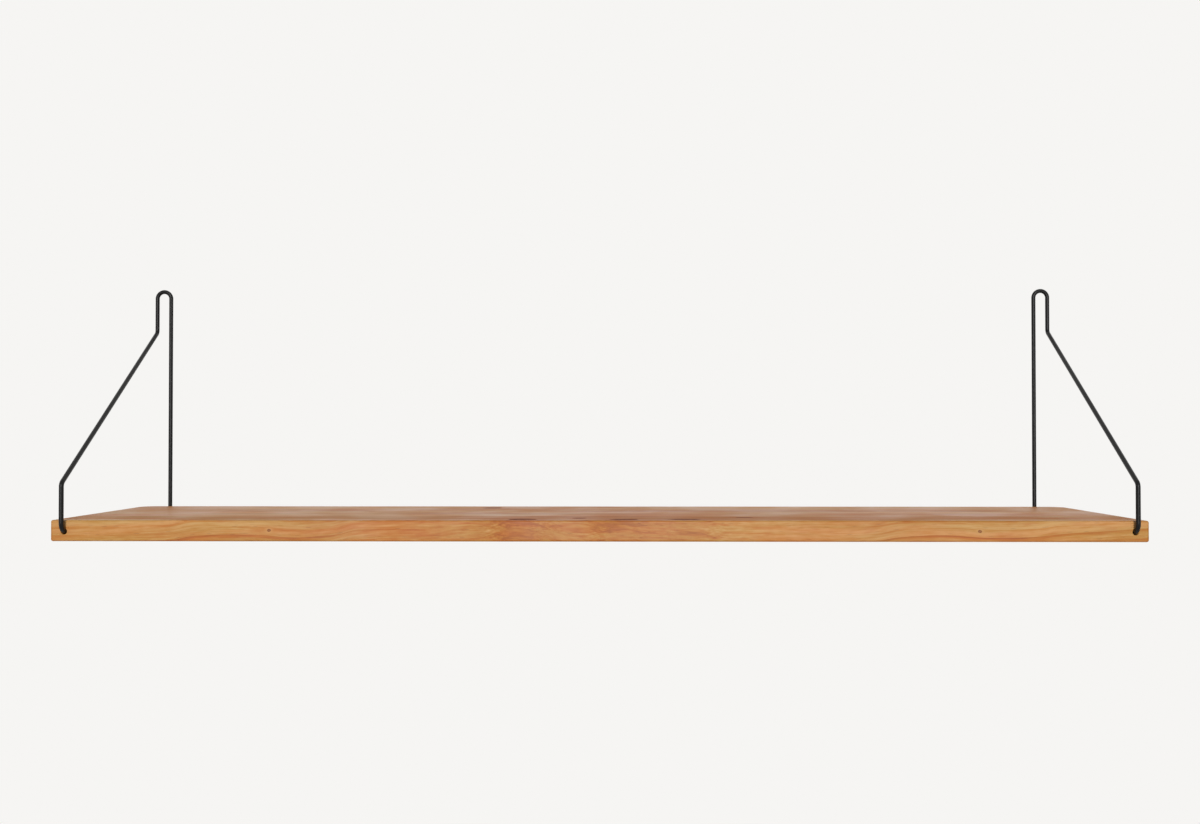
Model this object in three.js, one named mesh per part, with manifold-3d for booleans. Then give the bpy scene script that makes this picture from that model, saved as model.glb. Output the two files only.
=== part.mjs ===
// Wall shelf with two bent-wire brackets.
//
// A solid oak board hangs on two mirrored brackets. Each bracket is one length of round steel wire:
// a pin in the front edge of the board, a bend up in front of the board, a straight brace running up
// and back to the wall, a hairpin loop that hangs over a wall screw, and a long leg straight down
// behind the board that ends in a second pin in the rear edge.
//
// Millimetres. +Z is up, +X is to the right of someone facing the shelf, and -Y is the front.
// The plane y = 0 is the wall, and z = 0 is the height of the centre of the hanging loops.

import * as THREE from 'three';
import { mergeVertices } from 'three/addons/utils/BufferGeometryUtils.js';
import Module from 'manifold-3d';

const wasm = await Module();
wasm.setup();

// ---------------------------------------------------------------- driving dimensions

// Board
const BOARD_LENGTH = 800;
const BOARD_DEPTH = 200;
const BOARD_THICKNESS = 15.5;
const ARRIS_RADIUS = 1.5;          // rounding of every long edge, top and bottom
const FRONT_CORNER_RADIUS = 2;     // seen from above
const REAR_CORNER_RADIUS = 14;     // seen from above

// Wire
const WIRE_DIAMETER = 3.5;
const KNEE_RADIUS = 5;             // both knees of the brace, on the centre line
const PIN_BEND_RADIUS = 7;         // both bends into the pins, on the centre line
const LOOP_PITCH = 12;             // between the two legs of the hairpin loop, centre to centre
const END_INSET = 10;              // from the end of the board to the plane of the brace
const EDGE_GAP = 5;                // from the front and rear edges to the centre line of the wire
const LOOP_HEIGHT = 182;           // loop centre above the top of the board
const UPPER_KNEE_HEIGHT = 152;     // where outer leg and brace would meet, above the board
const LOWER_KNEE_HEIGHT = 27;      // where brace and front leg would meet, above the board

// Pins in the edges of the board
const PIN_DROP = 8.3;              // from the top of the board down to the pins
const PIN_LENGTH = 25;             // inside the board
const PIN_CLEARANCE = 0.15;        // between wire and hole, where they come closest
const PIN_END_CLEARANCE = 2;       // between the end of a pin and the bottom of its hole

// Roundness
const WIRE_SIDES = 16;
const DEGREES_PER_BEND_STEP = 11.25;
const CORNER_SEGMENTS = 8;
const ARRIS_SEGMENTS = 3;
const SHARED_POINT = 1e-5;         // closer than this, two points are one

// ---------------------------------------------------------------- places that follow from them

const WIRE_RADIUS = WIRE_DIAMETER / 2;
const WALL_LINE_Y = -WIRE_RADIUS;                       // centre line of the wire at the wall
const REAR_EDGE_Y = WALL_LINE_Y - EDGE_GAP;
const FRONT_EDGE_Y = REAR_EDGE_Y - BOARD_DEPTH;
const FRONT_LINE_Y = FRONT_EDGE_Y - EDGE_GAP;           // centre line of the front leg
const BOARD_TOP_Z = -LOOP_HEIGHT;
const PIN_Z = BOARD_TOP_Z - PIN_DROP;
const BRACE_X = BOARD_LENGTH / 2 - END_INSET;           // front leg, brace and outer leg
const REAR_LEG_X = BRACE_X - LOOP_PITCH;

// A pin's bend may reach into its hole. At the edge the wire then still slants and lies above the
// pin's line, so the hole is drilled between the two heights and wide enough for both.
const ENTRY_ANGLE = Math.acos(Math.max(1 - EDGE_GAP / PIN_BEND_RADIUS, 0));   // from the vertical
const ENTRY_LIFT = PIN_BEND_RADIUS * (1 - Math.sin(ENTRY_ANGLE));
const HOLE_Z = PIN_Z + ENTRY_LIFT / 2;
const HOLE_RADIUS = WIRE_RADIUS / Math.sin(ENTRY_ANGLE) + ENTRY_LIFT / 2 + PIN_CLEARANCE;

// ---------------------------------------------------------------- colours

const OAK = new THREE.MeshStandardMaterial({ color: 0xc68a54, roughness: 0.6, metalness: 0 });
const BLACK_STEEL = new THREE.MeshStandardMaterial({ color: 0x1c1c1b, roughness: 0.5, metalness: 0.1 });

// ---------------------------------------------------------------- solids

function toSolid(geometry) {
  const bare = geometry.clone();
  bare.deleteAttribute('normal');
  bare.deleteAttribute('uv');
  const merged = mergeVertices(bare, SHARED_POINT);
  const mesh = new wasm.Mesh({
    numProp: 3,
    vertProperties: new Float32Array(merged.attributes.position.array),
    triVerts: new Uint32Array(merged.index.array),
  });
  return new wasm.Manifold(mesh);
}

function toGeometry(solid) {
  const mesh = solid.getMesh();
  const geometry = new THREE.BufferGeometry();
  geometry.setAttribute('position', new THREE.BufferAttribute(mesh.vertProperties, 3));
  geometry.setIndex(new THREE.BufferAttribute(mesh.triVerts, 1));
  geometry.computeVertexNormals();
  return geometry;
}

function part(name, geometry, material) {
  const mesh = new THREE.Mesh(geometry, material);
  mesh.name = name;
  return mesh;
}

// ---------------------------------------------------------------- board

// The outline from above, with its own radius at the front and at the rear corners.
function boardOutline() {
  const right = BOARD_LENGTH / 2;
  const quarter = Math.PI / 2;
  const corners = [
    [right - FRONT_CORNER_RADIUS, FRONT_EDGE_Y + FRONT_CORNER_RADIUS, FRONT_CORNER_RADIUS],
    [right - REAR_CORNER_RADIUS, REAR_EDGE_Y - REAR_CORNER_RADIUS, REAR_CORNER_RADIUS],
    [REAR_CORNER_RADIUS - right, REAR_EDGE_Y - REAR_CORNER_RADIUS, REAR_CORNER_RADIUS],
    [FRONT_CORNER_RADIUS - right, FRONT_EDGE_Y + FRONT_CORNER_RADIUS, FRONT_CORNER_RADIUS],
  ];
  const outline = new THREE.Shape();
  corners.forEach(([x, y, radius], turn) => {
    outline.absarc(x, y, radius, (turn - 1) * quarter, turn * quarter, false);
  });
  outline.closePath();
  return outline;
}

function boardBlank() {
  const geometry = new THREE.ExtrudeGeometry(boardOutline(), {
    depth: BOARD_THICKNESS - 2 * ARRIS_RADIUS,
    curveSegments: CORNER_SEGMENTS,
    bevelThickness: ARRIS_RADIUS,
    bevelSize: ARRIS_RADIUS,
    bevelOffset: -ARRIS_RADIUS,
    bevelSegments: ARRIS_SEGMENTS,
  });
  geometry.translate(0, 0, BOARD_TOP_Z - BOARD_THICKNESS + ARRIS_RADIUS);
  return geometry;
}

// A blind hole that starts outside the edge at edgeY and runs inwards. Its flats, not its corners,
// lie at the full radius, so the wire has its clearance all round.
function pinHole(x, edgeY, inwards) {
  const depth = PIN_LENGTH + PIN_END_CLEARANCE;
  const lead = ARRIS_RADIUS;
  const radius = HOLE_RADIUS / Math.cos(Math.PI / WIRE_SIDES);
  const geometry = new THREE.CylinderGeometry(radius, radius, depth + lead, WIRE_SIDES);
  geometry.translate(x, edgeY + inwards * (depth - lead) / 2, HOLE_Z);
  return toSolid(geometry);
}

function makeBoard() {
  let solid = toSolid(boardBlank());
  for (const side of [-1, 1]) {
    solid = solid.subtract(pinHole(side * BRACE_X, FRONT_EDGE_Y, 1));
    solid = solid.subtract(pinHole(side * REAR_LEG_X, REAR_EDGE_Y, -1));
  }
  return part('shelf_board', toGeometry(solid), OAK);
}

// ---------------------------------------------------------------- bent wire

// A wire bent on a former: straight lines between the given corners, and at each corner an arc of
// its own radius that touches both lines. The curve's parameter runs from station to station, so a
// straight takes one step and a bend takes one step every few degrees.
class BentWire extends THREE.Curve {
  constructor(corners) {
    super();
    this.stations = [];
    corners.forEach((corner, i) => {
      const before = corners[i - 1];
      const after = corners[i + 1];
      if (before && after) {
        this.addBend(before.at, corner.at, after.at, corner.radius);
      } else {
        const from = before ? before.at : corner.at;
        const to = before ? corner.at : after.at;
        this.addStation(corner.at.clone(), to.clone().sub(from).normalize());
      }
    });
  }

  // Where one bend ends exactly where the next begins, they share the station between them.
  addStation(point, tangent) {
    const last = this.stations.at(-1);
    if (last && last.point.distanceTo(point) < SHARED_POINT) return;
    this.stations.push({ point, tangent });
  }

  addBend(before, corner, after, radius) {
    const incoming = corner.clone().sub(before).normalize();
    const outgoing = after.clone().sub(corner).normalize();
    const angle = incoming.angleTo(outgoing);
    const axis = incoming.clone().cross(outgoing).normalize();
    const toCentre = axis.clone().cross(incoming).multiplyScalar(radius);
    const start = corner.clone().addScaledVector(incoming, -radius * Math.tan(angle / 2));
    const centre = start.clone().add(toCentre);
    const steps = Math.ceil(THREE.MathUtils.radToDeg(angle) / DEGREES_PER_BEND_STEP);
    for (let i = 0; i <= steps; i += 1) {
      const turn = angle * i / steps;
      const arm = toCentre.clone().negate().applyAxisAngle(axis, turn);
      this.addStation(centre.clone().add(arm), incoming.clone().applyAxisAngle(axis, turn));
    }
  }

  get steps() {
    return this.stations.length - 1;
  }

  blend(u, key) {
    const place = THREE.MathUtils.clamp(u, 0, 1) * this.steps;
    const first = Math.min(Math.floor(place + SHARED_POINT), this.steps - 1);
    return this.stations[first][key].clone().lerp(this.stations[first + 1][key], place - first);
  }

  getPoint(u) {
    return this.blend(u, 'point');
  }

  getPointAt(u) {
    return this.blend(u, 'point');
  }

  getTangentAt(u) {
    return this.blend(u, 'tangent').normalize();
  }
}

// The corners of one bracket, from the front pin to the rear pin. side is -1 for the left bracket
// and 1 for the right one. The two square corners of the loop share one half circle.
function bracketCorners(side) {
  const x = side * BRACE_X;
  const rearX = side * REAR_LEG_X;
  const loopRadius = LOOP_PITCH / 2;
  const at = (px, py, pz, radius) => ({ at: new THREE.Vector3(px, py, pz), radius });
  return [
    at(x, FRONT_EDGE_Y + PIN_LENGTH, PIN_Z),
    at(x, FRONT_LINE_Y, PIN_Z, PIN_BEND_RADIUS),
    at(x, FRONT_LINE_Y, BOARD_TOP_Z + LOWER_KNEE_HEIGHT, KNEE_RADIUS),
    at(x, WALL_LINE_Y, BOARD_TOP_Z + UPPER_KNEE_HEIGHT, KNEE_RADIUS),
    at(x, WALL_LINE_Y, loopRadius, loopRadius),
    at(rearX, WALL_LINE_Y, loopRadius, loopRadius),
    at(rearX, WALL_LINE_Y, PIN_Z, PIN_BEND_RADIUS),
    at(rearX, REAR_EDGE_Y - PIN_LENGTH, PIN_Z),
  ];
}

function wireSection() {
  const points = [];
  for (let i = 0; i < WIRE_SIDES; i += 1) {
    const angle = 2 * Math.PI * i / WIRE_SIDES;
    points.push(new THREE.Vector2(WIRE_RADIUS * Math.cos(angle), WIRE_RADIUS * Math.sin(angle)));
  }
  return new THREE.Shape(points);
}

function makeBracket(name, side) {
  const wire = new BentWire(bracketCorners(side));
  const geometry = new THREE.ExtrudeGeometry(wireSection(), { steps: wire.steps, extrudePath: wire });
  return part(name, geometry, BLACK_STEEL);
}

// ---------------------------------------------------------------- assembly

const shelf = new THREE.Group();
shelf.name = 'wall_shelf';
shelf.add(makeBoard());
shelf.add(makeBracket('bracket_left', -1));
shelf.add(makeBracket('bracket_right', 1));

export default shelf;
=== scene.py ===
# %% [markdown]
# # A wall shelf on two bent-wire brackets
#
# The object is three pieces: a slim board of oiled oak, and two brackets, each bent from one length
# of black coated steel wire. A bracket plugs into the front and the rear edge of the board and hangs
# by a narrow hairpin loop over a screw in the wall.
#
# With so few pieces, everything depends on how well each one is made. This lesson sweeps the wires
# along a filleted path with Geometry Nodes, models the board as a real slab with eased edges and
# drilled holes, and grows the wood as a solid, so that the top, the edges and the sawn ends all show
# cuts through the same tree.

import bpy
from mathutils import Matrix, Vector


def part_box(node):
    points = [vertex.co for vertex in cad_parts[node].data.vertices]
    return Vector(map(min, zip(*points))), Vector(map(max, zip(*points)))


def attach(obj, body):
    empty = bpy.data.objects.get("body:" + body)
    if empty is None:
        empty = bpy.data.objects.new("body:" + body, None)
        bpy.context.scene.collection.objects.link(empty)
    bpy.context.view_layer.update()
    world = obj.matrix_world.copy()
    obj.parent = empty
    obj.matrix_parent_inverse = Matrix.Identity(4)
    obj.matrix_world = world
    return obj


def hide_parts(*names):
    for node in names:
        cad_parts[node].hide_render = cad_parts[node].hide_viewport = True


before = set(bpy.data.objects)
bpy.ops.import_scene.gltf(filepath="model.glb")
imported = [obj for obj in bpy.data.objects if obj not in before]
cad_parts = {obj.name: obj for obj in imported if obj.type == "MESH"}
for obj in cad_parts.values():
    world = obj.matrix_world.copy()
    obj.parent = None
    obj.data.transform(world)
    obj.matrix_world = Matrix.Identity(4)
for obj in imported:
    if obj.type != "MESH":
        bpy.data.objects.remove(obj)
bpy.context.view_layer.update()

# %% [markdown]
# ## The tools of the lesson
#
# `bpy` is Blender itself, `bmesh` edits meshes face by face, and `mathutils` brings vectors. All
# lengths are in metres. X runs along the board, Y into the wall and Z up, and the wall is at y = 0.

# %% Imports
import math

import bmesh
import bpy
from mathutils import Euler, Vector

MM = 0.001

# %% [markdown]
# ## Measure the pieces
#
# The frame already knows how large each piece is. The board's box gives its faces, and a bracket's
# box gives the planes that its wire runs in, once half a wire is taken off each side. Only what a box
# can't tell is written here: the diameter of the wire, the radii it is bent to, and how high above
# the board its two knees are.

# %% Measure the board and the brackets
board_low, board_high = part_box("shelf_board")
wire_low, wire_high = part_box("bracket_right")

WIRE_RADIUS = 1.75 * MM
KNEE_RADIUS = 5 * MM
PIN_BEND_RADIUS = 7 * MM
PIN_DROP = 8.3 * MM
UPPER_KNEE_HEIGHT = 152 * MM
LOWER_KNEE_HEIGHT = 27 * MM

board_top = board_high.z
pin_height = board_top - PIN_DROP
front_edge = board_low.y
rear_edge = board_high.y

brace_x = wire_high.x - WIRE_RADIUS
rear_leg_x = wire_low.x + WIRE_RADIUS
front_line = wire_low.y + WIRE_RADIUS
wall_line = wire_high.y - WIRE_RADIUS
loop_top = wire_high.z - WIRE_RADIUS
loop_radius = (brace_x - rear_leg_x) / 2

print(f"board {board_high - board_low}, top at {board_top:.4f}")
print(f"wire planes x {brace_x:.4f} and {rear_leg_x:.4f}, y {front_line:.4f} and {wall_line:.4f}")

# %% [markdown]
# ## Camera
#
# The shelf is seen almost straight on and from just above the board, so that its top shows as a thin
# sliver. A longish lens at a little over a metre keeps the depth readable without bending the
# brackets outwards too much. The camera comes first, because everything after it is judged through it.

# %% Camera
CAMERA_LENS = 41.77
CAMERA_DISTANCE = 1.0141
CAMERA_HEIGHT = 62.1 * MM
CAMERA_SIDE = 14.9 * MM
CAMERA_TILT_UP = 0.951
CAMERA_TURN_LEFT = 0.726


def add_object(name, data):
    """Puts data, such as a mesh or a lamp, into the scene under a name."""
    made = bpy.data.objects.new(name, data)
    bpy.context.scene.collection.objects.link(made)
    return made


def add_camera():
    data = bpy.data.cameras.new("camera")
    data.lens = CAMERA_LENS
    camera = add_object("camera", data)
    camera.location = (CAMERA_SIDE, front_edge - CAMERA_DISTANCE, board_top + CAMERA_HEIGHT)
    turn = (math.radians(90 + CAMERA_TILT_UP), 0, math.radians(CAMERA_TURN_LEFT))
    camera.rotation_euler = Euler(turn)
    bpy.context.scene.camera = camera
    return camera


camera = add_camera()
print("camera at", tuple(round(v, 4) for v in camera.location))

# %% [markdown]
# ## Words for wiring nodes
#
# Materials and Geometry Nodes are both node trees. A few small functions keep their wiring short
# enough to read. `put` adds a node and fills its inputs, each with a value or with another node's
# output. The others are the kinds of node that come up again and again.

# %% Helpers for node trees
def fill(tree, node, inputs):
    for key, value in inputs.items():
        if isinstance(value, bpy.types.NodeSocket):
            tree.links.new(value, node.inputs[key])
        else:
            node.inputs[key].default_value = value


def put(tree, kind, inputs=None, **settings):
    node = tree.nodes.new(kind)
    for name, value in settings.items():
        setattr(node, name, value)
    fill(tree, node, inputs or {})
    return node


def calc(tree, operation, *values):
    return put(tree, "ShaderNodeMath", dict(enumerate(values)), operation=operation).outputs[0]


def vector_calc(tree, operation, *values):
    node = put(tree, "ShaderNodeVectorMath", dict(enumerate(values)), operation=operation)
    return node.outputs["Value" if operation == "LENGTH" else "Vector"]


def remap(tree, value, low, high, to_low=0.0, to_high=1.0):
    """value, eased from to_low at low to to_high at high, and held beyond them."""
    inputs = dict(enumerate((value, low, high, to_low, to_high)))
    return put(tree, "ShaderNodeMapRange", inputs, interpolation_type="SMOOTHSTEP").outputs[0]


def mix_colour(tree, factor, first, second):
    return put(tree, "ShaderNodeMix", {0: factor, 6: first, 7: second}, data_type="RGBA").outputs[2]


# %% [markdown]
# A node group is a small tree with named sockets, made once and used wherever its effect is needed.
# Its values are set where it is used, so one group serves several finishes.

# %% Helpers for node groups
NUMBER = "NodeSocketFloat"
VECTOR = "NodeSocketVector"


def new_group(name, kind, inputs, outputs):
    """A tree with named sockets, and its two end nodes. inputs and outputs are {name: socket kind}."""
    tree = bpy.data.node_groups.new(name, kind)
    for in_out, sockets in (("INPUT", inputs), ("OUTPUT", outputs)):
        for socket_name, socket_kind in sockets.items():
            tree.interface.new_socket(socket_name, in_out=in_out, socket_type=socket_kind)
    return tree, put(tree, "NodeGroupInput").outputs, put(tree, "NodeGroupOutput")


def use_group(tree, group, inputs):
    node = put(tree, "ShaderNodeGroup", node_tree=group)
    fill(tree, node, inputs)
    return node.outputs


def new_material(name):
    material = bpy.data.materials.new(name)
    material.use_nodes = True
    material.node_tree.nodes.clear()
    return material, material.node_tree


# %% [markdown]
# ## Backdrop and light
#
# The background is one even warm white. The world gives that colour to the camera and to
# reflections, while everything else receives a plain soft light from it, so the backdrop's
# brightness never spills into the wood.

# %% Backdrop
BACKDROP = (0.9216, 0.9131, 0.8963, 1)
WORLD_LIGHT = 0.17


def seen_directly(tree):
    """1 for rays from the camera and for reflections, 0 for rays that gather light."""
    path = put(tree, "ShaderNodeLightPath").outputs
    seen = calc(tree, "MAXIMUM", path["Is Camera Ray"], path["Is Glossy Ray"])
    return calc(tree, "MAXIMUM", seen, path["Is Transmission Ray"])


def make_backdrop():
    world = bpy.data.worlds.new("soft_room")
    bpy.context.scene.world = world
    world.use_nodes = True
    tree = world.node_tree
    tree.nodes.clear()
    light = put(tree, "ShaderNodeBackground", {"Color": (1, 1, 1, 1), "Strength": WORLD_LIGHT})
    shown = put(tree, "ShaderNodeBackground", {"Color": BACKDROP, "Strength": 1.0})
    sides = {0: seen_directly(tree), 1: light.outputs[0], 2: shown.outputs[0]}
    both = put(tree, "ShaderNodeMixShader", sides)
    put(tree, "ShaderNodeOutputWorld", {"Surface": both.outputs[0]})


make_backdrop()
bpy.context.scene.view_settings.view_transform = "Standard"
print("backdrop", BACKDROP[:3], "and a world light of", WORLD_LIGHT)

# %% [markdown]
# The shelf's front faces the light and its top doesn't: the front is nearly twice as bright. So the
# key light is a soft panel in front, a little above the shelf. With the world's light it gives a
# vertical face nearly one full measure, at which a colour renders as written. It stands far off, so
# that the shadow of a wire falls on the board straight behind it, and the world's light is weak, so
# that the shadow stays deep. A weaker and wider panel behind lights the back and the top. It is kept
# out of reflections, because the top, seen at such a flat angle, would otherwise mirror it as a glare.

# %% Key light and back light
KEY = {"direction": (0, -1, 0.25), "distance": 12.0, "width": 2.6, "height": 7.4,
       "share": 0.8, "glossy": True}
BACK = {"direction": (0, 1, 0.25), "distance": 5.0, "width": 3.75, "height": 1.9,
        "share": 0.62, "glossy": False}


def add_panel(name, light):
    """A rectangular lamp. share is how much of a full measure it gives a face turned to it."""
    data = bpy.data.lights.new(name, "AREA")
    data.shape = "RECTANGLE"
    data.size = light["width"]
    data.size_y = light["height"]
    data.energy = light["share"] * (math.pi * light["distance"]) ** 2
    lamp = add_object(name, data)
    outwards = Vector(light["direction"]).normalized()
    middle = Vector((0, (front_edge + rear_edge) / 2, board_top))
    lamp.location = middle + outwards * light["distance"]
    lamp.rotation_euler = outwards.to_track_quat("Z", "Y").to_euler()
    lamp.visible_camera = False
    lamp.visible_glossy = light["glossy"]
    return lamp


for name, light in (("key_light", KEY), ("back_light", BACK)):
    lamp = add_panel(name, light)
    print(f"{name} of {lamp.data.energy:.0f} W at", [round(v, 2) for v in lamp.location])

# %% [markdown]
# A wide floor lies a metre under the shelf, as it would below a real one. Near the shelf it is an
# ordinary pale floor, which throws light back to the underside and takes the shadow. Further out it
# fades into the backdrop, so that no horizon cuts through the picture.

# %% Floor
FLOOR_DROP = 1.0
FLOOR_SIZE = 30
FLOOR_COLOUR = (0.85, 0.845, 0.83, 1)
FLOOR_GLOW = 0.34
FLOOR_SHADE_RADIUS = 1.4
FLOOR_FADE_RADIUS = 2.7


def floor_material():
    material, tree = new_material("pale_floor")
    place = put(tree, "ShaderNodeTexCoord").outputs["Object"]
    flat = vector_calc(tree, "MULTIPLY", place, (1, 1, 0))
    away = remap(tree, vector_calc(tree, "LENGTH", flat), FLOOR_SHADE_RADIUS, FLOOR_FADE_RADIUS)
    seen = seen_directly(tree)
    ordinary = put(tree, "ShaderNodeBsdfDiffuse", {"Color": FLOOR_COLOUR})
    lift = calc(tree, "MULTIPLY", seen, FLOOR_GLOW)
    glow = put(tree, "ShaderNodeEmission", {"Color": BACKDROP, "Strength": lift})
    near = put(tree, "ShaderNodeAddShader", {0: ordinary.outputs[0], 1: glow.outputs[0]})
    strength = remap(tree, seen, 0.0, 1.0, WORLD_LIGHT, 1.0)
    far = put(tree, "ShaderNodeEmission", {"Color": BACKDROP, "Strength": strength})
    both = put(tree, "ShaderNodeMixShader", {0: away, 1: near.outputs[0], 2: far.outputs[0]})
    put(tree, "ShaderNodeOutputMaterial", {"Surface": both.outputs[0]})
    return material


def finished_mesh(name, shape):
    """Turns a bmesh shape into a mesh, and frees it."""
    mesh = bpy.data.meshes.new(name)
    shape.to_mesh(mesh)
    shape.free()
    return mesh


def add_floor():
    shape = bmesh.new()
    bmesh.ops.create_grid(shape, x_segments=1, y_segments=1, size=FLOOR_SIZE / 2)
    bmesh.ops.translate(shape, verts=shape.verts, vec=(0, 0, board_low.z - FLOOR_DROP))
    floor = add_object("floor", finished_mesh("floor", shape))
    floor.data.materials.append(floor_material())
    return floor


floor = add_floor()
print("floor at", round(floor.data.vertices[0].co.z, 3))

# %% [markdown]
# ## The oak as a solid
#
# A flat picture of grain can't turn a corner. The lines on the top have to run over the arris into
# the front edge, and the sawn ends have to show the same rings end on. So the wood here is a
# function of the place inside the board, like real wood: the pith of the tree runs along the board,
# some way under it, and a point's distance from the pith says which year's ring it lies in.
#
# What makes it look alive is noise, drawn out along the fibres. Every noise has three numbers, which
# say roughly how many waves it has in a metre: along the board, across it, and through it.

# %% Helpers for patterns in wood
NOISE_ROUGHNESS = 0.55

front_face = (front_edge - rear_edge) / 2
half_thick = (board_high.z - board_low.z) / 2


def remap_straight(tree, value, low, high, to_low, to_high):
    """The same as remap, along a straight line."""
    inputs = dict(enumerate((value, low, high, to_low, to_high)))
    return put(tree, "ShaderNodeMapRange", inputs).outputs[0]


def fade_out(tree, value, full, gone):
    """1 where value is at full, eased to 0 where it is at gone."""
    return remap(tree, value, full, gone, 1.0, 0.0)


def scaled(tree, vector, factor):
    return put(tree, "ShaderNodeVectorMath", {0: vector, 3: factor}, operation="SCALE").outputs[0]


def axes_of(tree, place):
    return put(tree, "ShaderNodeSeparateXYZ", {0: place}).outputs


def noise(tree, place, scale, detail=2.0, output="Fac"):
    stretched = vector_calc(tree, "MULTIPLY", place, scale)
    inputs = {"Vector": stretched, "Scale": 1.0, "Detail": detail, "Roughness": NOISE_ROUGHNESS}
    return put(tree, "ShaderNodeTexNoise", inputs).outputs[output]


def centred_noise(tree, place, scale, detail=2.0):
    return calc(tree, "SUBTRACT", noise(tree, place, scale, detail), 0.5)


print("from the board's middle, its front is at", round(front_face / MM, 2), "mm")

# %% [markdown]
# What changes slowly along the board is given point by point instead. `along_board` takes a few heights
# at places in millimetres from the board's middle, and a Float Curve node makes them one smooth wave.
# The node works between 0 and 1, so places and heights are both scaled into that range. A small
# margin is left above the highest and under the lowest, because a smooth curve can swing a little
# past its points.

# %% Helper for slow changes along the board
CURVE_MARGIN = 0.1


def along_board(tree, along, heights):
    """A smooth curve through heights, a dictionary of places along the board and their values."""
    half = board_high.x
    curve = put(tree, "ShaderNodeFloatCurve", {"Value": remap_straight(tree, along, -half, half, 0, 1)})
    lowest, highest = min(heights.values()), max(heights.values())
    margin = CURVE_MARGIN * (highest - lowest)
    low, high = lowest - margin, highest + margin
    line = [(0.5 + x * MM / (2 * half), (height - low) / (high - low)) for x, height in heights.items()]
    points = curve.mapping.curves[0].points
    points[0].location = line[0]
    points[1].location = line[-1]
    for place in line[1:-1]:
        points.new(*place)
    curve.mapping.update()
    return remap_straight(tree, curve.outputs[0], 0, 1, low, high)


print("the board reaches", round(board_high.x / MM), "mm either way from its middle")

# %% [markdown]
# ### Straightened fibres
#
# A trunk is never straight. `GRAIN_RISE` says how far the grain has climbed, in millimetres, and slow
# and quick noise add the small wanderings. Everything that follows the fibres reads places that this
# group has straightened, so rings, pores and streaks wander together.

# %% Group: straightened fibres
GRAIN_RISE = {-400: -2, -318: -0.6, -290: 2.9, -257: 3.4, -212: 1.6, -176: 6, -120: 7.5, -20: 4,
              90: 0, 170: -1.4, 200: -0.2, 227: 3, 252: 3.5, 287: 1.9, 336: 5, 400: 8}
SLOW_WANDER = (2.2, 7, 7)
QUICK_WANDER = (14, 60, 60)


def sideways_push(tree, place, scale, amount):
    """Up to amount either way across the board and through it, and nothing along it."""
    three = noise(tree, place, scale, detail=1.5, output="Color")
    centred = vector_calc(tree, "SUBTRACT", three, (0.5, 0.5, 0.5))
    return scaled(tree, vector_calc(tree, "MULTIPLY", centred, (0, 2, 2)), amount)


def make_straighten():
    inputs = {"Place": VECTOR, "Slow": NUMBER, "Quick": NUMBER}
    tree, given, result = new_group("straighten", "ShaderNodeTree", inputs, {"Place": VECTOR})
    place = given["Place"]
    wave = calc(tree, "MULTIPLY", along_board(tree, axes_of(tree, place)[0], GRAIN_RISE), MM)
    rise = put(tree, "ShaderNodeCombineXYZ", {"Z": wave}).outputs[0]
    slow = sideways_push(tree, place, SLOW_WANDER, given["Slow"])
    quick = sideways_push(tree, place, QUICK_WANDER, given["Quick"])
    pushed = vector_calc(tree, "ADD", vector_calc(tree, "ADD", place, slow), quick)
    fill(tree, result, {"Place": vector_calc(tree, "SUBTRACT", pushed, rise)})
    return tree


straighten = make_straighten()
print("group", straighten.name)

# %% [markdown]
# ### Growth rings
#
# Every ring begins in spring, pale and open, and deepens to amber until it stops in a dark line.
# The rings cross the narrow front edge at a slant, so only two or three show there, as long lines.
#
# The group gives three things: how dark the late wood is at this place, a mask of the spring band
# where the large pores crowd, and the ring's own chance value, so that fat and lean years differ.
# The places within a ring run from 0, where its spring begins, to 1, where its year ends.

# %% Group: growth rings
DEEPENING = (0.25, 0.96)
DEEPENING_POWER = 2.3
YEAR_END = (0.95, 1.0)
SPRING_BAND = (0.05, 0.45)


def make_growth_rings():
    inputs = {"Place": VECTOR, "Pith": VECTOR, "Ring Width": NUMBER, "Shift": NUMBER, "Seed": NUMBER}
    outputs = {"Late": NUMBER, "Spring": NUMBER, "Chance": NUMBER}
    tree, given, result = new_group("growth_rings", "ShaderNodeTree", inputs, outputs)
    from_pith = vector_calc(tree, "SUBTRACT", given["Place"], given["Pith"])
    outwards = vector_calc(tree, "LENGTH", vector_calc(tree, "MULTIPLY", from_pith, (0, 1, 1)))
    rings = calc(tree, "DIVIDE", calc(tree, "ADD", outwards, given["Shift"]), given["Ring Width"])
    across = calc(tree, "FRACT", rings)
    year = calc(tree, "ADD", calc(tree, "FLOOR", rings), given["Seed"])
    chance = put(tree, "ShaderNodeTexWhiteNoise", {"W": year}, noise_dimensions="1D").outputs["Value"]
    deepening = remap_straight(tree, across, *DEEPENING, 0, 1)
    deepening = calc(tree, "POWER", deepening, DEEPENING_POWER)
    late = calc(tree, "MULTIPLY", deepening, fade_out(tree, across, *YEAR_END))
    fill(tree, result, {"Late": late, "Spring": fade_out(tree, across, *SPRING_BAND), "Chance": chance})
    return tree


growth_rings = make_growth_rings()
print("group", growth_rings.name)

# %% [markdown]
# ### Pores
#
# Cut lengthwise, the large vessels of oak are fine dark dashes, a quarter of a millimetre wide and
# a few millimetres long. A Voronoi texture stretched along the board has one dash in each cell. On
# the sawn ends the same cells are cut across, and the dashes become dots. A pore is fully dark out
# to a little over half its width.

# %% Group: pores
PORE_CORE = 0.55


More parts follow.
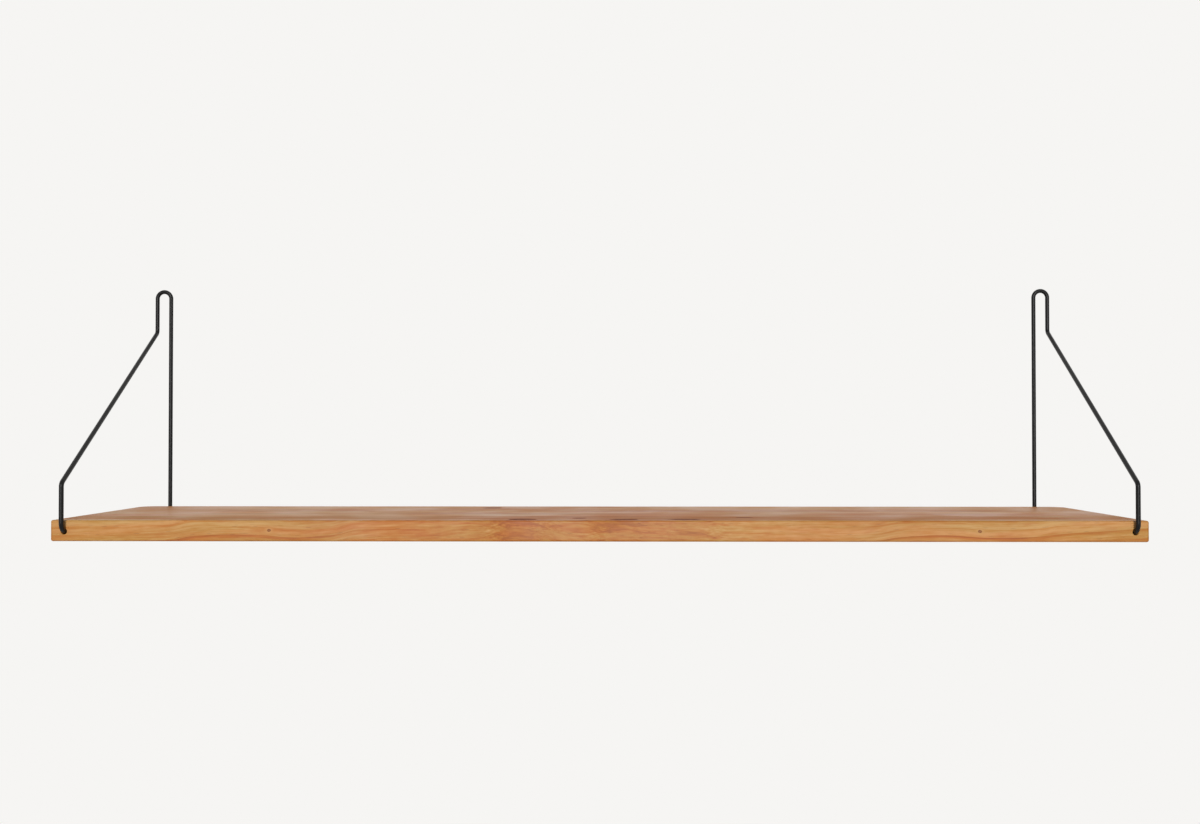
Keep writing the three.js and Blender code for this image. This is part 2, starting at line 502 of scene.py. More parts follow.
def make_pores():
    inputs = {"Place": VECTOR, "Length": NUMBER, "Spacing": NUMBER, "Width": NUMBER}
    tree, given, result = new_group("pores", "ShaderNodeTree", inputs, {"Pore": NUMBER})
    spacing = given["Spacing"]
    size = put(tree, "ShaderNodeCombineXYZ", {0: given["Length"], 1: spacing, 2: spacing}).outputs[0]
    cells = vector_calc(tree, "DIVIDE", given["Place"], size)
    nearest = put(tree, "ShaderNodeTexVoronoi", {"Vector": cells, "Scale": 1.0}).outputs["Distance"]
    core = calc(tree, "MULTIPLY", given["Width"], PORE_CORE)
    fill(tree, result, {"Pore": fade_out(tree, nearest, core, given["Width"])})
    return tree


pores = make_pores()
print("group", pores.name)

# %% [markdown]
# ### Knots
#
# A knot is a branch that the trunk grew round. Its core is dark and hard, darkest at the rim and
# ringed like the trunk. A sine makes about four such rings. A warm halo surrounds the core, and the
# fibres part and run past it on both sides. The group measures the distance from the branch in units
# of its own size, so a size that is long one way makes a branch that runs that way through the board.
# Noise makes its outline ragged.
#
# `Push` says how far to move the fibres here, as a part of the way from the knot's centre line.

# %% Group: knot
RAGGED = (1.3, 1.3, 1.3)
RAGGED_BY = 0.35
KNOT_RING_RADIANS = 24
KNOT_RING_DEPTH = 0.1
HEART_TO_RIM = {"low": 0.1, "high": 0.85, "to_low": 0.65, "to_high": 1.0}
KNOT_RIM = (0.75, 1.0)
KNOT_HALO = (0.6, 3.0)


def make_knot():
    inputs = {"Place": VECTOR, "Centre": VECTOR, "Size": VECTOR, "Spread": VECTOR}
    outputs = {"Core": NUMBER, "Halo": NUMBER, "Push": VECTOR}
    tree, given, result = new_group("knot", "ShaderNodeTree", inputs, outputs)
    from_centre = vector_calc(tree, "SUBTRACT", given["Place"], given["Centre"])
    round_distance = vector_calc(tree, "LENGTH", vector_calc(tree, "DIVIDE", from_centre, given["Size"]))
    own_units = vector_calc(tree, "DIVIDE", given["Place"], given["Size"])
    ragged = noise(tree, own_units, RAGGED, detail=3)
    ragged = remap_straight(tree, ragged, 0, 1, -RAGGED_BY, RAGGED_BY)
    distance = calc(tree, "ADD", round_distance, ragged)
    rings = calc(tree, "SINE", calc(tree, "MULTIPLY", distance, KNOT_RING_RADIANS))
    shade = calc(tree, "MULTIPLY_ADD", rings, KNOT_RING_DEPTH, remap(tree, distance, **HEART_TO_RIM))
    core = calc(tree, "MULTIPLY", fade_out(tree, distance, *KNOT_RIM), shade)
    halo = fade_out(tree, round_distance, *KNOT_HALO)
    push = scaled(tree, vector_calc(tree, "MULTIPLY", from_centre, given["Spread"]), halo)
    fill(tree, result, {"Core": core, "Halo": halo, "Push": push})
    return tree


knot = make_knot()
print("group", knot.name)

# %% [markdown]
# ### Uneven gloss
#
# Neither oil nor powder coat shines evenly. Broad soft noise makes some places a little smoother
# than others. Both finishes use this group, each with its own size of patch and its own range.

# %% Group: uneven gloss
PATCH_EDGES = (0.3, 0.7)


def make_uneven_gloss():
    inputs = {"Place": VECTOR, "Patch": NUMBER, "Smooth": NUMBER, "Rough": NUMBER}
    tree, given, result = new_group("uneven_gloss", "ShaderNodeTree", inputs, {"Roughness": NUMBER})
    scale = calc(tree, "DIVIDE", 1.0, given["Patch"])
    inputs = {"Vector": given["Place"], "Scale": scale, "Detail": 3.0, "Roughness": NOISE_ROUGHNESS}
    chance = put(tree, "ShaderNodeTexNoise", inputs).outputs["Fac"]
    roughness = remap(tree, chance, *PATCH_EDGES, given["Smooth"], given["Rough"])
    fill(tree, result, {"Roughness": roughness})
    return tree


uneven_gloss = make_uneven_gloss()
print("group", uneven_gloss.name)

# %% [markdown]
# ### The oiled oak
#
# One number, the depth of tone, carries most of the wood's colour. At nothing it is pale straw, then
# come honey, amber and a deep russet, and a colour ramp turns the number into the colour.
#
# Two curves along the board set the stage. `DEPTH_OF_TONE` makes the stretch with the knots darker
# than the ends, and `LINE_STRENGTH` brings the lines of late wood forward where the grain is calm.

# %% Oak values
TONES = {0.0: (0.602, 0.327, 0.113, 1), 0.38: (0.512, 0.226, 0.046, 1), 0.72: (0.452, 0.148, 0.016, 1),
         1.0: (0.345, 0.092, 0.008, 1)}
DEPTH_OF_TONE = {-400: 0.24, -340: 0.15, -277: 0.19, -179: 0.22, -130: 0.42, -30: 0.48, 17: 0.42,
                 50: 0.31, 116: 0.17, 181: 0.11, 280: 0.12, 330: 0.16, 400: 0.28}
LINE_STRENGTH = {-400: 0.4, -320: 0.8, -220: 0.75, -150: 0.35,
                 160: 0.4, 215: 1.1, 270: 1.1, 320: 0.8, 400: 0.6}

PITH = (0, 12, -60)
RING_WIDTH = 2.6
RING_SHIFT = 0.7
YEAR_SEED = 3

print(len(TONES), "tones, and rings of", RING_WIDTH, "mm")

# %% [markdown]
# On these curves lie patterns of several sizes. Bundles and threads of fibres are long and thin.
# Flecks are short. The strokes climb a little as they go, like the figure of wood that grew under
# strain, so they are laid on a slanted copy of the fibres. Both are strongest in the figured stretch
# round the knots.

# %% Late wood and figure
LEANEST_YEAR = 0.25
FLECKS = (110, 420, 420)
CALM_FLECKS = 0.5
FULL_FLECKS = 0.8
STROKES = (20, 140, 260)
STROKE_SLOPE = 0.13
CALM_STROKES = 0.5
FULL_STROKES = 1.0
FIGURED_CENTRE = -30
FIGURED_REACH = (90, 220)


def late_wood(tree, along, rings):
    """The late wood of the rings. Years differ, and so does the strength along the board."""
    year = remap_straight(tree, rings["Chance"], 0, 1, LEANEST_YEAR, 1.0)
    year = calc(tree, "MULTIPLY", year, along_board(tree, along, LINE_STRENGTH))
    return calc(tree, "MULTIPLY", rings["Late"], year)


def figure(tree, along, fibres):
    from_middle = calc(tree, "ABSOLUTE", calc(tree, "SUBTRACT", along, FIGURED_CENTRE * MM))
    near, far = (reach * MM for reach in FIGURED_REACH)
    figured = fade_out(tree, from_middle, near, far)
    climb = put(tree, "ShaderNodeCombineXYZ", {2: calc(tree, "MULTIPLY", along, STROKE_SLOPE)}).outputs[0]
    strokes = centred_noise(tree, vector_calc(tree, "SUBTRACT", fibres, climb), STROKES, detail=3)
    strength = remap_straight(tree, figured, 0, 1, CALM_STROKES, FULL_STROKES)
    strokes = calc(tree, "MULTIPLY", strokes, strength)
    flecks = centred_noise(tree, fibres, FLECKS)
    strength = remap_straight(tree, figured, 0, 1, CALM_FLECKS, FULL_FLECKS)
    return calc(tree, "MULTIPLY_ADD", flecks, strength, strokes)


print("the figure fades out", FIGURED_REACH[1], "mm from", FIGURED_CENTRE)

# %% [markdown]
# Broad streaks are added to them, which show mostly on the top, and so is a slow change up the front
# edge, which is a little paler towards its top and deeper towards its bottom. Round a branch the
# wood is deeper too. All of it adds up to the depth of tone.

# %% Depth of tone
BUNDLES = (10, 330, 330)
THREADS = (45, 1300, 1300)
THREAD_STRENGTH = 0.9
BROAD_STREAKS = (1.6, 34, 60)
BROAD_STRENGTH = (1.1, 3.0)
BROAD_REACH = 30
PALER_UPWARDS = (0.14, -0.12)
PALER_REACH = 25
DEEPER_HALO = 0.35


def tone_here(tree, place, fibres, rings, halo):
    along, inwards, upwards = axes_of(tree, place)
    strength = remap(tree, inwards, front_face, front_face + BROAD_REACH * MM, *BROAD_STRENGTH)
    broad = calc(tree, "MULTIPLY", centred_noise(tree, fibres, BROAD_STREAKS), strength)
    tone = calc(tree, "ADD", late_wood(tree, along, rings), broad)
    tone = calc(tree, "ADD", along_board(tree, along, DEPTH_OF_TONE), tone)
    tone = calc(tree, "ADD", figure(tree, along, fibres), tone)
    tone = calc(tree, "ADD", centred_noise(tree, fibres, BUNDLES, detail=3), tone)
    near_front = fade_out(tree, inwards, front_face, front_face + PALER_REACH * MM)
    paler = remap_straight(tree, upwards, -half_thick, half_thick, *PALER_UPWARDS)
    tone = calc(tree, "MULTIPLY_ADD", near_front, paler, tone)
    tone = calc(tree, "MULTIPLY_ADD", centred_noise(tree, fibres, THREADS), THREAD_STRENGTH, tone)
    return calc(tree, "MULTIPLY_ADD", halo, DEEPER_HALO, tone)


def tone_ramp(tree, tone):
    ramp = put(tree, "ShaderNodeValToRGB", {0: tone})
    steps = ramp.color_ramp.elements
    for place in list(TONES)[1:-1]:
        steps.new(place)
    for step, (place, colour) in zip(steps, TONES.items()):
        step.position = place
        step.color = colour
    return ramp.outputs["Color"]


print("depth of tone along the board:", min(DEPTH_OF_TONE.values()), "to", max(DEPTH_OF_TONE.values()))

# %% [markdown]
# The knots come next. Their places are in millimetres from the board's middle. Two are pin knots in
# the front edge, left by twigs that point straight out of it, and the others open on the top. One
# helper takes the strongest of all knots at a place, and adds up how they push the fibres aside.

# %% All knots at a place
PIN_KNOTS = ((-239.5, 0.4), (277.6, 0.0))
PIN_KNOT_SIZE = (1.6, 14, 1.2)
TOP_KNOTS = {(-92, 74): (9, 8, 30), (-55, -87): (12, 10, 30), (-14, -72): (6, 6, 30),
             (20, -88): (12, 8, 30), (64, -86): (14, 8, 30), (110, -62): (8, 4, 30)}
FIBRES_PART = 0.6


def knots_here(tree, place, knots, spread):
    """The strongest core and halo, and the sum of pushes. knots holds (centre, size) in millimetres."""
    core, halo, push = 0.0, 0.0, (0, 0, 0)
    for centre, size in knots:
        found = use_group(tree, knot, {
            "Place": place, "Centre": Vector(centre) * MM, "Size": Vector(size) * MM, "Spread": spread})
        core = calc(tree, "MAXIMUM", core, found["Core"])
        halo = calc(tree, "MAXIMUM", halo, found["Halo"])
        push = vector_calc(tree, "ADD", push, found["Push"])
    return core, halo, push


def pin_knots_here(tree, place):
    """The knots of the front edge, which part the fibres upwards and downwards."""
    knots = [((x, front_face / MM, z), PIN_KNOT_SIZE) for x, z in PIN_KNOTS]
    return knots_here(tree, place, knots, (0, 0, FIBRES_PART))


def top_knots_here(tree, place):
    """The knots of the top, which part the fibres forwards and backwards."""
    knots = [((x, y, 0), size) for (x, y), size in TOP_KNOTS.items()]
    return knots_here(tree, place, knots, (0, FIBRES_PART, 0))


print(len(PIN_KNOTS), "pin knots and", len(TOP_KNOTS), "knots in the top")

# %% [markdown]
# One streak is too plain to leave to chance: a russet band runs in the top, a little behind the
# front edge. It is partly the wood's own colour and partly painted shade: seen from in front, its
# darkening stands in for the shade and the missing sheen on the near side of the sliver. It wanders,
# comes and goes, stays close under the top face, and just misses the front edge. Its sizes are in
# millimetres.

# %% Front streak and painted shade
STREAK_AND_SHADE_BEHIND_EDGE = 30
STREAK_AND_SHADE_SPREAD = (10, 34)
STREAK_AND_SHADE_CLEAR_OF_EDGE = (1, 5)
STREAK_AND_SHADE_HEIGHT = (3, 7.5)
STREAK_AND_SHADE_WANDERS_BY = 60
STREAK_AND_SHADE_WANDER = (8, 0, 0)
STREAK_AND_SHADE_MOTTLE = (5, 220, 0)
MOTTLE_EDGES = (0.36, 0.62)
FAINTEST_STREAK_AND_SHADE = 0.3


def front_streak_and_shade(tree, place, fibres):
    inwards, upwards = axes_of(tree, place)[1:]
    wander = centred_noise(tree, place, STREAK_AND_SHADE_WANDER, detail=3)
    wandered = calc(tree, "MULTIPLY_ADD", wander, STREAK_AND_SHADE_WANDERS_BY * MM, inwards)
    middle = front_face + STREAK_AND_SHADE_BEHIND_EDGE * MM
    beside = calc(tree, "ABSOLUTE", calc(tree, "SUBTRACT", wandered, middle))
    band = fade_out(tree, beside, *(spread * MM for spread in STREAK_AND_SHADE_SPREAD))
    clear = remap(tree, inwards, *(front_face + behind * MM for behind in STREAK_AND_SHADE_CLEAR_OF_EDGE))
    shallow = remap(tree, upwards, *(height * MM for height in STREAK_AND_SHADE_HEIGHT))
    mottled = noise(tree, fibres, STREAK_AND_SHADE_MOTTLE, detail=3)
    streak_and_shade = remap(tree, mottled, *MOTTLE_EDGES, FAINTEST_STREAK_AND_SHADE, 1.0)
    for mask in (band, clear, shallow):
        streak_and_shade = calc(tree, "MULTIPLY", streak_and_shade, mask)
    return streak_and_shade


print("the streak's middle is", STREAK_AND_SHADE_BEHIND_EDGE, "mm behind the front edge")

# %% [markdown]
# The hue wanders too. Heartwood is redder. It comes up in broad and in small patches, and there is
# more of it inside the board than at its front edge. Over everything, some streaks lean to red and
# others to straw.

# %% Heartwood and hue
HEART_RED = (0.455, 0.143, 0.027, 1)
HEART_INSIDE = 0.25
HEART_BEHIND_EDGE = (2, 20)
BROAD_HEART = {"scale": (7, 90, 24), "edges": (0.42, 0.64), "strength": 0.25}
SMALL_HEART = {"scale": (42, 200, 230), "edges": (0.52, 0.72), "strength": 0.35}
RED_LEAN = (1.03, 0.926, 0.888, 1)
STRAW_LEAN = (0.97, 1.045, 1.032, 1)
LEAN_STREAKS = (9, 90, 150)
LEAN_EDGES = (0.36, 0.64)


def wander_in_hue(tree, colour, place, fibres):
    begins, full = (front_face + behind * MM for behind in HEART_BEHIND_EDGE)
    heart = remap(tree, axes_of(tree, place)[1], begins, full, 0.0, HEART_INSIDE)
    for patch in (BROAD_HEART, SMALL_HEART):
        patchy = noise(tree, fibres, patch["scale"])
        patchy = remap(tree, patchy, *patch["edges"], 0.0, patch["strength"])
        heart = calc(tree, "ADD", heart, patchy)
    colour = mix_colour(tree, heart, colour, HEART_RED)
    redder = remap(tree, noise(tree, fibres, LEAN_STREAKS), *LEAN_EDGES)
    return vector_calc(tree, "MULTIPLY", colour, mix_colour(tree, redder, STRAW_LEAN, RED_LEAN))


print("heartwood begins", HEART_BEHIND_EDGE[0], "mm behind the front edge")

# %% [markdown]
# Two finer things change over the board. The pores stand out in the spring wood of each ring and
# are faint in the rest of it. The oil has sunk in unevenly, and the streak with its painted shade and
# the knots are a little rougher than the wood round them.

# %% Open pores and roughness
PORE_SIZES = {"Length": 12 * MM, "Spacing": 0.75 * MM, "Width": 0.23}
FAINTEST_PORE = 0.25
OIL_GLOSS = {"Patch": 60 * MM, "Smooth": 0.38, "Rough": 0.58}
ROUGHER_KNOTS = 0.5
ROUGHER_STREAK_AND_SHADE = 0.2


def open_pores(tree, fibres, rings):
    pore = use_group(tree, pores, {"Place": fibres, **PORE_SIZES})["Pore"]
    strength = remap_straight(tree, rings["Spring"], 0, 1, FAINTEST_PORE, 1.0)
    return calc(tree, "MULTIPLY", pore, strength)


def oiled_roughness(tree, place, core, streak_and_shade):
    gloss = use_group(tree, uneven_gloss, {"Place": place, **OIL_GLOSS})
    roughness = calc(tree, "MULTIPLY_ADD", core, ROUGHER_KNOTS, gloss["Roughness"])
    return calc(tree, "MULTIPLY_ADD", streak_and_shade, ROUGHER_STREAK_AND_SHADE, roughness)


print("one pore in every", PORE_SIZES["Length"] / MM, "by", PORE_SIZES["Spacing"] / MM, "mm")

# %% [markdown]
# The material is put together in the order in which the eye reads it: the tone with its rings, then
# the hue, the streak with its painted shade and the knots, and last the pores, which are also the
# hollows of the bump.
# Round a branch the rings bulge outwards, and round a pin knot the wood is paler.

# %% Material: oiled oak
KNOT_BROWN = (0.12, 0.026, 0.009, 1)
PIN_BROWN = (0.19, 0.045, 0.002, 1)
WANDERS = {"Slow": 1.5 * MM, "Quick": 0.8 * MM}
RING_BULGE = 2.2
STREAK_AND_SHADE_STRENGTH = 0.44
KNOT_STRENGTH = 0.95
PALER_ROUND_PINS = 0.5
PORE_STRENGTH = 0.5
PORE_BUMP = {"Strength": 0.5, "Distance": 0.05 * MM}
OIL_SHINE = 0.35


def oak_material():
    material, tree = new_material("oiled_oak")
    local = put(tree, "ShaderNodeTexCoord").outputs["Object"]
    centre = -(board_low + board_high) / 2
    place = put(tree, "ShaderNodeMapping", {"Vector": local, "Location": centre}).outputs[0]

    pin_core, pin_halo, pin_push = pin_knots_here(tree, place)
    core, halo, push = top_knots_here(tree, place)
    fibres = use_group(tree, straighten, {"Place": place, **WANDERS})["Place"]
    fibres = vector_calc(tree, "SUBTRACT", vector_calc(tree, "SUBTRACT", fibres, push), pin_push)
    bulge = calc(tree, "MULTIPLY_ADD", halo, RING_BULGE * MM, RING_SHIFT * MM)
    rings = use_group(tree, growth_rings, {
        "Place": fibres, "Pith": Vector(PITH) * MM, "Ring Width": RING_WIDTH * MM,
        "Shift": bulge, "Seed": YEAR_SEED})
    streak_and_shade = front_streak_and_shade(tree, place, fibres)

    colour = tone_ramp(tree, tone_here(tree, place, fibres, rings, halo))
    colour = wander_in_hue(tree, colour, place, fibres)
    # The streak darkens the wood towards the deepest tone: partly its own colour, partly painted shade on
    # the near side of the top.
    colour = mix_colour(tree, calc(tree, "MULTIPLY", streak_and_shade, STREAK_AND_SHADE_STRENGTH), colour, TONES[1.0])
    colour = mix_colour(tree, calc(tree, "MULTIPLY", core, KNOT_STRENGTH), colour, KNOT_BROWN)
    colour = mix_colour(tree, calc(tree, "MULTIPLY", pin_halo, PALER_ROUND_PINS), colour, TONES[0.0])
    colour = mix_colour(tree, pin_core, colour, PIN_BROWN)

    pore = open_pores(tree, fibres, rings)
    colour = mix_colour(tree, calc(tree, "MULTIPLY", pore, PORE_STRENGTH), colour, KNOT_BROWN)
    roughness = oiled_roughness(tree, place, core, streak_and_shade)
    hollows = calc(tree, "MULTIPLY", pore, -1.0)
    bump = put(tree, "ShaderNodeBump", {**PORE_BUMP, "Height": hollows})
    shader = put(tree, "ShaderNodeBsdfPrincipled", {
        "Base Color": colour, "Roughness": roughness, "Normal": bump.outputs[0]})
    shader.inputs["Specular IOR Level"].default_value = OIL_SHINE
    put(tree, "ShaderNodeOutputMaterial", {"Surface": shader.outputs[0]})
    return material


oiled_oak = oak_material()
print("oak has", len(oiled_oak.node_tree.nodes), "nodes")

# %% [markdown]
# ### The black coated steel
#
# The wire wears a thin powder coat: black, neither dull nor glossy, with the faint orange-peel
# texture that melted powder leaves. The bump is that texture, about a millimetre from crest to
# crest and a few microns deep, just enough to soften a highlight along the wire.

# %% Material: black steel
BLACK = (0.003, 0.003, 0.0031, 1)
DUSTY_BLACK = (0.006, 0.006, 0.0062, 1)
DUST = (90, 90, 90)
DUST_EDGES = (0.35, 0.75)
PEEL = (1400, 1400, 1400)
PEEL_BUMP = {"Strength": 0.3, "Distance": 0.006 * MM}
COAT_GLOSS = {"Patch": 25 * MM, "Smooth": 0.3, "Rough": 0.36}
COAT_SHINE = 0.2


def steel_material():
    material, tree = new_material("black_steel")
    place = put(tree, "ShaderNodeTexCoord").outputs["Object"]
    dust = remap(tree, noise(tree, place, DUST, detail=3), *DUST_EDGES)
    colour = mix_colour(tree, dust, BLACK, DUSTY_BLACK)
    gloss = use_group(tree, uneven_gloss, {"Place": place, **COAT_GLOSS})
    bump = put(tree, "ShaderNodeBump", {**PEEL_BUMP, "Height": noise(tree, place, PEEL)})
    shader = put(tree, "ShaderNodeBsdfPrincipled", {
        "Base Color": colour, "Roughness": gloss["Roughness"], "Normal": bump.outputs[0]})
    shader.inputs["Specular IOR Level"].default_value = COAT_SHINE
    put(tree, "ShaderNodeOutputMaterial", {"Surface": shader.outputs[0]})
    return material


black_steel = steel_material()
print("steel has", len(black_steel.node_tree.nodes), "nodes")

# %% [markdown]
# ## The wire brackets
#
# Each bracket is one length of round wire, bent at six corners. A maker would describe it as a list
# of corners, each with the radius that it is bent to, and that is how it is made here. The corners
# and the two ends are the points of a bare line, and a point attribute holds each one's bend radius,
# which is nothing at the ends.
#
# Geometry Nodes do the rest: the line becomes a curve, Fillet Curve rounds every corner by its own
# radius, and Curve to Mesh sweeps a circle along it. The loop at the top is two quarter bends whose
# radius is half the distance between the legs, so they meet in one smooth half turn.

# %% Geometry Nodes tree: bent wire
def make_bent_wire():
    inputs = {"Line": "NodeSocketGeometry", "Wire Radius": NUMBER, "Sides": "NodeSocketInt",
              "Steps per Bend": "NodeSocketInt", "Finish": "NodeSocketMaterial"}
    outputs = {"Wire": "NodeSocketGeometry"}
    tree, given, result = new_group("bent_wire", "GeometryNodeTree", inputs, outputs)
    path = put(tree, "GeometryNodeMeshToCurve", {"Mesh": given["Line"]})
    radius = put(tree, "GeometryNodeInputNamedAttribute", {"Name": "bend_radius"}, data_type="FLOAT")
    bent = put(tree, "GeometryNodeFilletCurve", {
        "Curve": path.outputs[0], "Count": given["Steps per Bend"], "Radius": radius.outputs[0]},
        mode="POLY")
    section = put(tree, "GeometryNodeCurvePrimitiveCircle", {
        "Resolution": given["Sides"], "Radius": given["Wire Radius"]})
    swept = put(tree, "GeometryNodeCurveToMesh", {
        "Curve": bent.outputs[0], "Profile Curve": section.outputs[0], "Fill Caps": True})
    smooth = put(tree, "GeometryNodeSetShadeSmooth", {"Geometry": swept.outputs[0]})
    plain = put(tree, "GeometryNodeRealizeInstances", {"Geometry": smooth.outputs[0]})
    painted = put(tree, "GeometryNodeSetMaterial", {
        "Geometry": plain.outputs[0], "Material": given["Finish"]})
    fill(tree, result, {"Wire": painted.outputs[0]})
    return tree


bent_wire = make_bent_wire()
print("tree", bent_wire.name, "with", len(bent_wire.nodes), "nodes")

# %% [markdown]
# The path starts inside the front of the board and ends inside its back. In front, the wire climbs
# to the lower knee, leans back to the upper knee at the wall, and rises over the loop. Behind, it
# drops straight to the board's rear edge and turns in.

# %% The path of a bracket
PIN_LENGTH = 25 * MM


def bracket_corners(side):
    """The wire's ends and corners, each with its bend radius. side is -1 for left and 1 for right."""
    brace, rear = side * brace_x, side * rear_leg_x
    return [
        ((brace, front_edge + PIN_LENGTH, pin_height), 0),
        ((brace, front_line, pin_height), PIN_BEND_RADIUS),
        ((brace, front_line, board_top + LOWER_KNEE_HEIGHT), KNEE_RADIUS),
        ((brace, wall_line, board_top + UPPER_KNEE_HEIGHT), KNEE_RADIUS),
        ((brace, wall_line, loop_top), loop_radius),
        ((rear, wall_line, loop_top), loop_radius),
        ((rear, wall_line, pin_height), PIN_BEND_RADIUS),
        ((rear, rear_edge - PIN_LENGTH, pin_height), 0),
    ]


def bare_line(name, corners):
    mesh = bpy.data.meshes.new(name)
    count = len(corners)
    mesh.from_pydata([place for place, radius in corners], [(i, i + 1) for i in range(count - 1)], [])
    radii = mesh.attributes.new("bend_radius", "FLOAT", "POINT")
    radii.data.foreach_set("value", [radius for place, radius in corners])
    return mesh


for place, radius in bracket_corners(1):
    print("corner", [round(v / MM, 1) for v in place], "radius", round(radius / MM, 1))

# %% [markdown]
# The tree runs as a modifier on the bare line. Its inputs are set by the sockets' identifiers, and
# the evaluated result is then stored as a plain mesh, so that nothing of the tree is left on the
# piece. The wire is finely faceted, because its edge is seen against a bright background.

# %% Make the brackets
WIRE_SIDES = 40
STEPS_PER_BEND = 20


def keep_modifiers(piece):
    """Replaces a piece's mesh by what its modifiers make of it."""
    settled = piece.evaluated_get(bpy.context.evaluated_depsgraph_get())
    mesh = bpy.data.meshes.new_from_object(settled)
    piece.modifiers.clear()
    piece.data = mesh


def run_tree(piece, tree, inputs):
    """Runs a Geometry Nodes tree on a piece and keeps the result."""
    modifier = piece.modifiers.new(tree.name, "NODES")
    modifier.node_group = tree
    for socket in tree.interface.items_tree:
        if socket.name in inputs:
            modifier[socket.identifier] = inputs[socket.name]
    keep_modifiers(piece)


def make_bracket(side, name):
    bracket = add_object("wire_" + name, bare_line(name, bracket_corners(side)))
    run_tree(bracket, bent_wire, {
        "Wire Radius": WIRE_RADIUS, "Sides": WIRE_SIDES,
        "Steps per Bend": STEPS_PER_BEND, "Finish": black_steel})
    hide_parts(name)
    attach(bracket, "root")
    return bracket


def tell_size(piece):
    size = " x ".join(str(round(v / MM, 2)) for v in piece.dimensions)
    print(piece.name, "has", len(piece.data.polygons), "faces and measures", size, "mm")


for side, name in ((-1, "bracket_left"), (1, "bracket_right")):
    tell_size(make_bracket(side, name))

# %% [markdown]
# ## The board
#
# The board is sawn, planed and sanded: a slab whose long edges are eased to a millimetre and a half,
# with crisp corners at the front and generously rounded ones at the back. It is built as a stack of
# outlines. Every outline is the same rounded rectangle, drawn in by as much as the arris curves in
# at that height, and the stack is closed with one flat face above and one below.

# %% The outline of the board
FRONT_CORNER_RADIUS = 2 * MM
REAR_CORNER_RADIUS = 14 * MM
ARRIS_RADIUS = 1.5 * MM
CORNER_STEPS = 16
ARRIS_STEPS = 8


def outline(drawn_in):
    """The board seen from above, with every edge moved inwards by drawn_in."""
    right = board_high.x
    corners = [
        (right, front_edge, -1, 1, FRONT_CORNER_RADIUS, -90),
        (right, rear_edge, -1, -1, REAR_CORNER_RADIUS, 0),
        (-right, rear_edge, 1, -1, REAR_CORNER_RADIUS, 90),
        (-right, front_edge, 1, 1, FRONT_CORNER_RADIUS, 180),
    ]
    points = []
    for x, y, towards_x, towards_y, radius, start in corners:
        centre = Vector((x + towards_x * radius, y + towards_y * radius))
        for step in range(CORNER_STEPS + 1):
            angle = math.radians(start + 90 * step / CORNER_STEPS)
            points.append(centre + (radius - drawn_in) * Vector((math.cos(angle), math.sin(angle))))
    return points


def arris_levels():
    """Pairs of height and how far the outline is drawn in, from the underside to the top."""
    angles = [math.radians(90 * step / ARRIS_STEPS) for step in range(ARRIS_STEPS + 1)]
    bend = [(1 - math.sin(angle), 1 - math.cos(angle)) for angle in angles]
    low = [(board_low.z + ARRIS_RADIUS * up, ARRIS_RADIUS * inset) for up, inset in reversed(bend)]
    high = [(board_top - ARRIS_RADIUS * down, ARRIS_RADIUS * inset) for down, inset in bend]
    return low + high


print(len(outline(0)), "points in an outline,", len(arris_levels()), "levels")

# %% [markdown]
# Bands of four-sided faces join each outline to the one above it. The lowest outline is turned round
# before it becomes a face, so that the underside faces outwards too.

# %% The blank
def board_blank():
    blank = bmesh.new()
    rings = [[blank.verts.new((x, y, z)) for x, y in outline(inset)] for z, inset in arris_levels()]
    for below, above in zip(rings, rings[1:]):
        for i in range(len(below)):
            following = (i + 1) % len(below)
            blank.faces.new((below[i], below[following], above[following], above[i]))
    blank.faces.new(list(reversed(rings[0])))
    blank.faces.new(rings[-1])
    return blank


board = add_object("oak_board", finished_mesh("oak_board", board_blank()))
tell_size(board)

# %% [markdown]
# Four holes take the wires' ends, two in the front edge and two in the rear. They are a loose fit
# and a little deeper than the wires reach. A light touch with a countersink keeps the wood from
# splintering at their rims, so each drill is a round pin with a flared collar.

# %% The drills
HOLE_ROOM = 0.4 * MM
HOLE_RADIUS = WIRE_RADIUS + HOLE_ROOM
HOLE_DEPTH = PIN_LENGTH + 2 * MM
COUNTERSINK = 0.4 * MM
DRILL_PROUD = 1 * MM
HOLE_SIDES = 40


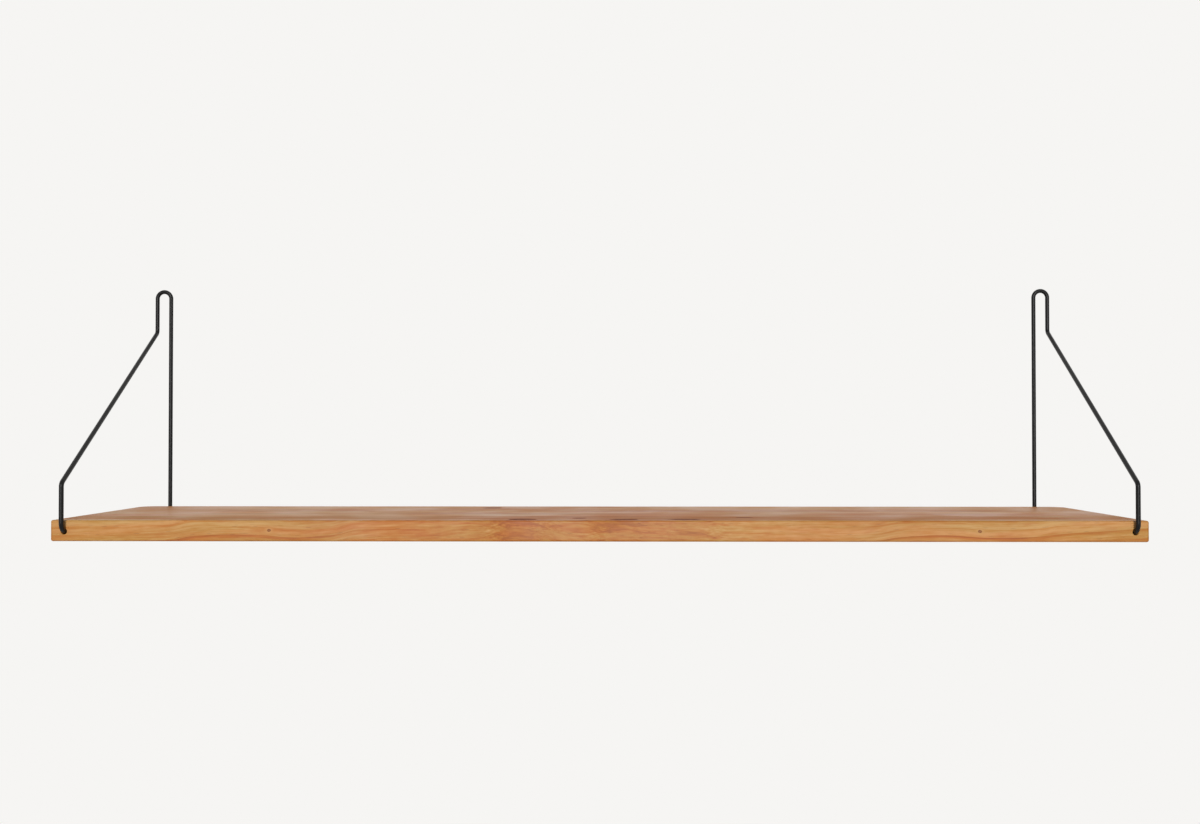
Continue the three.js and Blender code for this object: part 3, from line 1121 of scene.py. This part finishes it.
def add_drill(drills, x, edge, inwards):
    """Adds one drill. inwards is 1 for the front edge and -1 for the rear."""
    collar = HOLE_RADIUS + COUNTERSINK
    profile = [(-DRILL_PROUD, collar), (0, collar), (COUNTERSINK, HOLE_RADIUS), (HOLE_DEPTH, HOLE_RADIUS)]
    turn = [2 * math.pi * i / HOLE_SIDES for i in range(HOLE_SIDES)]
    loops = []
    for depth, radius in profile:
        y = edge + inwards * depth
        ring = [(x + radius * math.cos(a), y, pin_height + radius * math.sin(a)) for a in turn]
        loops.append([drills.verts.new(place) for place in ring])
    for near, far in zip(loops, loops[1:]):
        for i in range(HOLE_SIDES):
            following = (i + 1) % HOLE_SIDES
            drills.faces.new((near[i], near[following], far[following], far[i]))
    drills.faces.new(loops[0])
    drills.faces.new(loops[-1])


def all_drills():
    drills = bmesh.new()
    for side in (-1, 1):
        add_drill(drills, side * brace_x, front_edge, 1)
        add_drill(drills, side * rear_leg_x, rear_edge, -1)
    bmesh.ops.recalc_face_normals(drills, faces=drills.faces)
    return drills


drills = add_object("drills", finished_mesh("drills", all_drills()))
print("holes of", round(2 * HOLE_RADIUS / MM, 2), "mm,", round(HOLE_DEPTH / MM, 2), "mm deep")

# %% [markdown]
# A Boolean modifier takes the drills out of the blank. Its exact solver copes with the ring of each
# collar that lies in the very plane of the board's edge. The drills themselves are then thrown away.

# %% Drill the board
drilling = board.modifiers.new("drill", "BOOLEAN")
drilling.operation = "DIFFERENCE"
drilling.solver = "EXACT"
drilling.object = drills
keep_modifiers(board)
bpy.data.objects.remove(drills)
tell_size(board)

# %% [markdown]
# Smooth shading rounds the arrises, and every edge sharper than 35 degrees stays crisp, such as the
# rims of the holes. Weighted normals give the large flat faces the last word, so that their light
# stays even right up to the arris.

# %% Shade and finish the board
SHARP_ANGLE = 35

board.data.shade_smooth()
board.data.set_sharp_from_angle(angle=math.radians(SHARP_ANGLE))
weighted = board.modifiers.new("weighted_normals", "WEIGHTED_NORMAL")
weighted.keep_sharp = True
keep_modifiers(board)
board.data.materials.clear()
board.data.materials.append(oiled_oak)
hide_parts("shelf_board")
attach(board, "root")
print("board has", sum(len(face.vertices) - 2 for face in board.data.polygons), "triangles")
